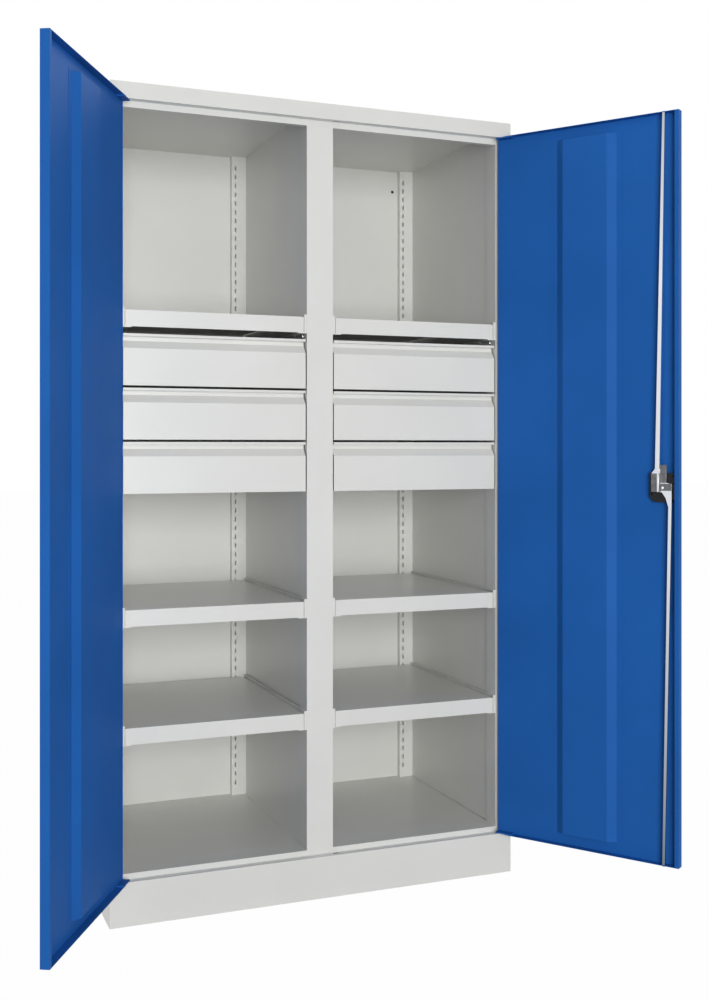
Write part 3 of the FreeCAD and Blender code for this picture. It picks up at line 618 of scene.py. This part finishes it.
@dataclass
class Carcass(SubAssembly):
    """Plinth, panels, partition and uprights, with the wall-fixing holes' plugs and the keeper's cup.

    The keeper is the plinth's slot for the lower bar. Its place is measured from the middle and the front.
    """

    plug_radius: float = 4.6 * MM
    plug_height: float = 1.4 * MM
    ledge_sheet: float = 1.2 * MM
    keeper_place: float = 39 * MM
    keeper_setback: float = 16 * MM
    keeper_width: float = 14.4 * MM
    keeper_depth: float = 9.4 * MM
    keeper_drop: float = 14 * MM
    keeper_wall: float = 1.2 * MM

    def finishes(self) -> dict[str, Finish]:
        """Names each CAD node of the carcass; all of them have the grey coat.

        Returns:
            The finish of each node.
        """
        single = (
            "plinth_frame", "floor_panel", "back_panel", "top_cover", "top_rail", "ceiling_panel",
            "centre_post", "partition_walls", "front_uprights", "rear_uprights",
        )
        pairs = [f"{side}_{piece}" for side in SIDES for piece in ("side_panel", "inner_wall")]
        return {name: GREY_COAT for name in (*single, *pairs)}

    def build(self) -> None:
        """Puts a plug over each wall-fixing hole and a cup under the slot that the lower bar locks into."""
        mount = next(m for m in self.frame["record"]["mounts"] if m["name"] == "wall_fixing")
        middle = np.array(mount["pos_m"], float)
        middle[1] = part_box("back_panel")[0].y
        reach = ACROSS * mount["dims"]["spacing_x_mm"] * MM / 2
        profile = dome(self.plug_radius, self.plug_height)
        plugs = [turned(profile, middle + reach * way, -BACKWARDS) for way in (-1, 1)]
        new_piece("wall_hole_plugs", plugs, BLACK_NYLON, "carcass")
        low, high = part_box("plinth_frame")
        rim = np.array([self.keeper_place, low.y + self.keeper_setback, high.z - self.ledge_sheet])
        keeper = cup(rim, self.keeper_width, self.keeper_depth, self.keeper_drop, self.keeper_wall)
        new_piece("keeper_cup", [keeper], BLACK_NYLON, "carcass")


@dataclass
class Shelving(SubAssembly):
    """Shelves and their brackets, with the rivets and bolts that hold them to the uprights."""

    levels: tuple[str, ...] = ("top", "middle", "lower")
    bracket_sheet: float = 2 * MM
    rivet_radius: float = 3.2 * MM
    rivet_height: float = 1.2 * MM
    bolt_radius: float = 3.6 * MM
    bolt_height: float = 4.5 * MM
    rivet_rise: float = 3.0 * MM
    rivet_setback: float = 97 * MM
    flange_setback: float = 75 * MM
    flange_inset: float = 7 * MM
    bolt_setback: float = 31 * MM
    bolt_drop: float = 5 * MM

    def finishes(self) -> dict[str, Finish]:
        """Names the shelves and their brackets; all of them have the grey coat.

        Returns:
            The finish of each node.
        """
        shelves = [f"{level}_{side}_shelf" for level in self.levels for side in SIDES]
        return {name: GREY_COAT for name in (*shelves, "shelf_brackets")}

    def build(self) -> None:
        """Builds the rivets of every bracket and the bolts under the top shelves."""
        profile = dome(self.rivet_radius, self.rivet_height)
        head = dome(self.bolt_radius, self.bolt_height)
        rivets: list[Shell] = []
        bolts: list[Shell] = []
        for side in SIDES:
            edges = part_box(f"{side}_column_runners")
            ends = [(edges[0].x, ACROSS), (edges[1].x, -ACROSS)]
            for level in self.levels:
                low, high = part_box(f"{level}_{side}_shelf")
                for edge, inwards in ends:
                    web = ACROSS * edge + inwards * self.bracket_sheet
                    for depth in (low.y + self.rivet_setback, high.y - self.rivet_setback):
                        place = web + BACKWARDS * depth + UP * (high.z + self.rivet_rise)
                        rivets.append(turned(profile, place, inwards))
            low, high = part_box(f"top_{side}_shelf")
            under = low.z - self.bracket_sheet
            for edge, inwards in ends:
                flange = ACROSS * edge + inwards * self.flange_inset
                place = flange + BACKWARDS * (low.y + self.flange_setback) + UP * under
                bolts.append(turned(head, place, -UP))
                place = ACROSS * edge + UP * (under - self.bolt_drop)
                bolts.append(turned(head, place + BACKWARDS * (low.y + self.bolt_setback), inwards))
        new_piece("bracket_rivets", rivets, ZINC_PLATE, "carcass")
        new_piece("top_shelf_bolts", bolts, ZINC_PLATE, "carcass")


@dataclass
class Drawers(SubAssembly):
    """Six drawers on their runners, with the rivets that hold each tray to its runners."""

    numbers: tuple[int, ...] = (1, 2, 3)
    tray_sheet: float = 0.8 * MM
    rivet_radius: float = 3 * MM
    rivet_height: float = 1 * MM
    rivet_inset: float = 60 * MM
    rivet_rise: float = 24 * MM

    def finishes(self) -> dict[str, Finish]:
        """Names the drawers' coated fronts and trays, and the zinc-plated runners.

        Returns:
            The finish of each node.
        """
        found = {f"{side}_column_runners": ZINC_PLATE for side in SIDES}
        for side in SIDES:
            for number in self.numbers:
                label = f"{side}_drawer_{number}"
                found |= {f"{label}_front": GREY_COAT, f"{label}_tray": GREY_COAT}
                found[f"{label}_runners"] = ZINC_PLATE
        return found

    def build(self) -> None:
        """Puts two rivet heads on the inner face of each tray's sides, level with its runners."""
        profile = dome(self.rivet_radius, self.rivet_height)
        for side in SIDES:
            for number in self.numbers:
                label = f"{side}_drawer_{number}"
                low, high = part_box(f"{label}_tray")
                height = UP * (low.z + self.rivet_rise)
                walls = ((low.x + self.tray_sheet, ACROSS), (high.x - self.tray_sheet, -ACROSS))
                rivets = [
                    turned(profile, ACROSS * x + BACKWARDS * y + height, inwards)
                    for x, inwards in walls
                    for y in (low.y + self.rivet_inset, high.y - self.rivet_inset)
                ]
                new_piece(f"{label}_rivets", rivets, ZINC_PLATE, label)


@dataclass
class Doors(SubAssembly):
    """Door pans with their stiffeners, hinge plates and pins, and the washers that the doors turn on."""

    pin_room: float = 0.2 * MM
    washer_radius: float = 4.4 * MM
    washer_height: float = 2.6 * MM

    def finishes(self) -> dict[str, Finish]:
        """Names the blue sheet pieces and the zinc-plated pins.

        Returns:
            The finish of each node.
        """
        found = {f"{side}_hinge_pins": ZINC_PLATE for side in SIDES}
        for side in SIDES:
            for piece in ("door_panel", "door_stiffener", "hinge_plates"):
                found[f"{side}_{piece}"] = BLUE_COAT
        return found

    def build(self) -> None:
        """Puts a washer on each pin, between the door and the ledge above or below it."""
        for side in SIDES:
            pin_low, pin_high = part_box(f"{side}_hinge_pins")
            door_low, door_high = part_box(f"{side}_door_panel")
            inner = (pin_high.x - pin_low.x) / 2 + self.pin_room
            outer, height = self.washer_radius, self.washer_height
            profile = np.array([(inner, 0.0), (outer, 0.0), (outer, height), (inner, height)])
            middle = np.array((pin_low + pin_high) / 2) * (ACROSS + BACKWARDS)
            feet = (door_high.z, door_low.z - height)
            washers = [turned(profile, middle + UP * foot, UP, ring=True) for foot in feet]
            new_piece(f"{side}_hinge_washers", washers, BLACK_NYLON, f"{side}_door")


@dataclass
class Lockwork(SubAssembly):
    """Lock, handle and locking bars, with the castings on the bars' links and the screws of the lock case.

    Places are measured from the lock's axis: along the door towards its hinge is negative, up is positive.
    Depth is measured from the door's outer face.
    """

    pivot_depth: float = 4 * MM
    case_depth: float = 12 * MM
    upper_face: float = 16.6 * MM
    lower_face: float = 18.8 * MM
    pin_room: float = 18.95 * MM
    cast_top: float = 20.3 * MM
    rounding: float = 0.7 * MM
    body_near: float = -31 * MM
    body_far: float = -8.5 * MM
    body_low: float = -10 * MM
    body_foot: float = 7 * MM
    body_high: float = 34 * MM
    tab_far: float = 7.5 * MM
    tab_low: float = 12 * MM
    tab_high: float = 55 * MM
    cover_near: float = -7.3 * MM
    cover_far: float = 19.5 * MM
    cover_low: float = -7 * MM
    cover_foot: float = 6 * MM
    cover_high: float = 9.8 * MM
    rib_place: float = -13.5 * MM
    rib_width: float = 4.4 * MM
    rib_rise: float = 0.9 * MM
    rivet_place: float = -3 * MM
    rivet_radius: float = 3.6 * MM
    rivet_height: float = 0.9 * MM
    screw_radius: float = 3.4 * MM
    screw_height: float = 1.3 * MM
    screw_places: tuple[tuple[float, float], ...] = ((-31 * MM, -16 * MM), (22 * MM, 28 * MM))

    def finishes(self) -> dict[str, Finish]:
        """Names the moulded, plated and nickelled pieces of the lock.

        Returns:
            The finish of each node.
        """
        moulded = {name: BLACK_NYLON for name in ("lock_case", "handle", "handle_rosette")}
        plated = {name: ZINC_PLATE for name in ("lock_cam", "spindle")}
        # The bars get zinc with painted light and shade along their height.
        bars = {name: ZINC_WITH_PAINTED_SHADE for name in ("upper_rod", "lower_rod")}
        return moulded | plated | bars | {"key_cylinder": NICKEL}

    def build(self) -> None:
        """Builds the castings, the rib and rivet on them, and the screws, around the lock's axis."""
        joints = self.frame["record"]["behaviour"]["joints"]
        joint = next(j for j in joints if j["name"] == "handle_turn")
        out = np.array(joint["axis"], float)
        along = np.cross(UP, out)
        face = np.array(joint["pos_m"], float) - out * self.pivot_depth

        def cast(near: float, far: float, profile: np.ndarray) -> Shell:
            """One profile carried along the door.

            Args:
                near: where it begins.
                far: where it ends.
                profile: height and depth of its outline.

            Returns:
                Vertices and faces.
            """
            return carried(profile, face + along * near, along * (far - near), UP, out)

        roof, top = self.pin_room, self.cast_top
        body = bridge(self.body_low, self.body_foot, self.body_high, self.upper_face, roof, top)
        tab = slab(self.tab_low, self.tab_high, self.upper_face, top)
        castings = [cast(self.body_near, self.body_far, body), cast(self.body_far, self.tab_far, tab)]
        new_piece("slider_block", castings, CAST_ZINC, "upper_rod", self.rounding)
        cover = bridge(self.cover_low, self.cover_foot, self.cover_high, self.lower_face, roof, top)
        covers = [cast(self.cover_near, self.cover_far, cover)]
        new_piece("lower_link_cover", covers, CAST_ZINC, "lower_rod", self.rounding)
        rib = slab(self.body_low, self.body_high, top, top + self.rib_rise)
        half = self.rib_width / 2
        ribs = [cast(self.rib_place - half, self.rib_place + half, rib)]
        new_piece("bar_end_rib", ribs, ZINC_PLATE, "upper_rod", self.rounding / 2)
        place = face + along * self.rivet_place + out * self.cast_top
        rivet = turned(dome(self.rivet_radius, self.rivet_height), place, out)
        new_piece("link_rivet", [rivet], ZINC_PLATE, "lower_rod")
        profile = dome(self.screw_radius, self.screw_height)
        foot = face + out * self.case_depth
        screws = [turned(profile, foot + along * x + UP * z, out) for x, z in self.screw_places]
        new_piece("case_screws", screws, BLACK_STEEL, "right_door")


@dataclass
class Studio:
    """Pale floor, soft lamps and the camera of the photograph."""

    image_width: int = 708
    image_height: int = 1000
    focal_px: float = 1240.52
    centre_u: float = 370.58
    centre_v: float = 447.27
    yaw: float = math.radians(22.088)
    eye: tuple[float, float, float] = (-1.0355, -3.1520, 1.1060)
    sensor: float = 36.0
    floor_reach: float = 30.0
    floor_rows: int = 3
    floor_drop: float = 0.5 * MM
    floor_paint: str = "#B4B4B4"
    target: tuple[float, float, float] = (0.0, -0.2, 0.95)
    key_place: tuple[float, float, float] = (-0.8, -6.2, 1.3)
    key_size: float = 2.4
    key_watts: float = 236.0
    rear_places: tuple[tuple[float, float, float], ...] = ((-5.4, 3.2, 3.2), (5.4, 3.2, 3.2))
    rear_size: float = 3.6
    rear_watts: float = 130.0
    world_strength: float = 0.36
    floor_white: float = 0.985

    def build(self) -> None:
        """Builds the floor, the world, the lamps and the camera."""
        self.world()
        self.floor()
        self.lamp("key_lamp", self.key_place, self.key_size, self.key_watts)
        for number, place in enumerate(self.rear_places, 1):
            self.lamp(f"rear_lamp_{number}", place, self.rear_size, self.rear_watts)
        self.camera()

    @staticmethod
    def seen(tree: bpy.types.NodeTree) -> bpy.types.NodeSocket:
        """Adds the share of rays that look at the backdrop: camera, glossy and transmission rays.

        Args:
            tree: node tree of the backdrop.

        Returns:
            One for such a ray, zero for light that falls on the object.
        """
        path = add_node(tree, "ShaderNodeLightPath")
        share = path.outputs["Is Camera Ray"]
        for kind in ("Is Glossy Ray", "Is Transmission Ray"):
            either = add_node(
                tree, "ShaderNodeMath", links={0: share, 1: path.outputs[kind]}, operation="MAXIMUM"
            )
            share = either.outputs[0]
        return share

    def world(self) -> None:
        """White where it is looked at, and a plain even light on the object."""
        world = bpy.data.worlds.new("studio")
        world.use_nodes = True
        tree = world.node_tree
        tree.nodes.clear()
        light = add_node(
            tree, "ShaderNodeBackground", {"Color": WHITE, "Strength": self.world_strength}
        )
        white = add_node(tree, "ShaderNodeBackground", {"Color": WHITE, "Strength": 1.0})
        mixed = add_node(
            tree,
            "ShaderNodeMixShader",
            links={0: self.seen(tree), 1: light.outputs[0], 2: white.outputs[0]},
        )
        add_node(tree, "ShaderNodeOutputWorld", links={"Surface": mixed.outputs[0]})
        bpy.context.scene.world = world

    def floor(self) -> None:
        """A flat grid just under the plinth, white but for the cabinet's soft shadow."""
        span = np.linspace(-self.floor_reach, self.floor_reach, self.floor_rows)
        x, y = np.meshgrid(span, span, indexing="ij")
        level = np.full_like(x, -self.floor_drop)
        points, quads = surface(np.stack([x, y, level], axis=-1), False, False)
        mesh = bpy.data.meshes.new("studio_floor")
        mesh.from_pydata(points.tolist(), [], quads)
        material = bpy.data.materials.new("white_studio_floor")
        material.use_nodes = True
        tree = material.node_tree
        tree.nodes.clear()
        paint = add_node(tree, "ShaderNodeBsdfDiffuse", {"Color": linear(self.floor_paint)})
        white = add_node(tree, "ShaderNodeEmission", {"Color": WHITE, "Strength": 1.0})
        share = add_node(
            tree, "ShaderNodeMath", {1: self.floor_white}, {0: self.seen(tree)}, operation="MULTIPLY"
        )
        mixed = add_node(
            tree,
            "ShaderNodeMixShader",
            links={0: share.outputs[0], 1: paint.outputs[0], 2: white.outputs[0]},
        )
        add_node(tree, "ShaderNodeOutputMaterial", links={"Surface": mixed.outputs[0]})
        mesh.materials.append(material)
        floor = bpy.data.objects.new("studio_floor", mesh)
        bpy.context.scene.collection.objects.link(floor)

    def lamp(self, name: str, place: tuple[float, float, float], size: float, watts: float) -> None:
        """A square soft lamp turned towards the cabinet's middle.

        Args:
            name: name of the lamp.
            place: where it stands.
            size: length of its side.
            watts: its power.
        """
        data = bpy.data.lights.new(name, "AREA")
        data.size = size
        data.energy = watts
        lamp = bpy.data.objects.new(name, data)
        lamp.location = place
        lamp.rotation_euler = (Vector(self.target) - Vector(place)).to_track_quat("-Z", "Y").to_euler()
        bpy.context.scene.collection.objects.link(lamp)

    def camera(self) -> None:
        """A level camera with the photograph's focal length and shift."""
        data = bpy.data.cameras.new("photo_camera")
        long_side = max(self.image_width, self.image_height)
        data.sensor_width = self.sensor
        data.lens = self.focal_px / long_side * self.sensor
        data.shift_x = (self.image_width / 2 - self.centre_u) / long_side
        data.shift_y = (self.centre_v - self.image_height / 2) / long_side
        camera = bpy.data.objects.new("photo_camera", data)
        camera.location = self.eye
        camera.rotation_euler = (math.pi / 2, 0.0, -self.yaw)
        bpy.context.scene.collection.objects.link(camera)
        bpy.context.scene.camera = camera


def main() -> None:
    """Loads the frame, dresses and completes each sub-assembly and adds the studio."""
    logging.basicConfig(level=logging.INFO, format="%(name)s: %(message)s")
    bpy.ops.wm.read_factory_settings(use_empty=True)
    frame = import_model()
    bpy.context.scene.view_settings.view_transform = "Standard"
    for kind in (Carcass, Shelving, Drawers, Doors, Lockwork):
        part = kind(frame)
        part.dress()
        part.build()
    Studio().build()


if __name__ == "__main__":
    main()
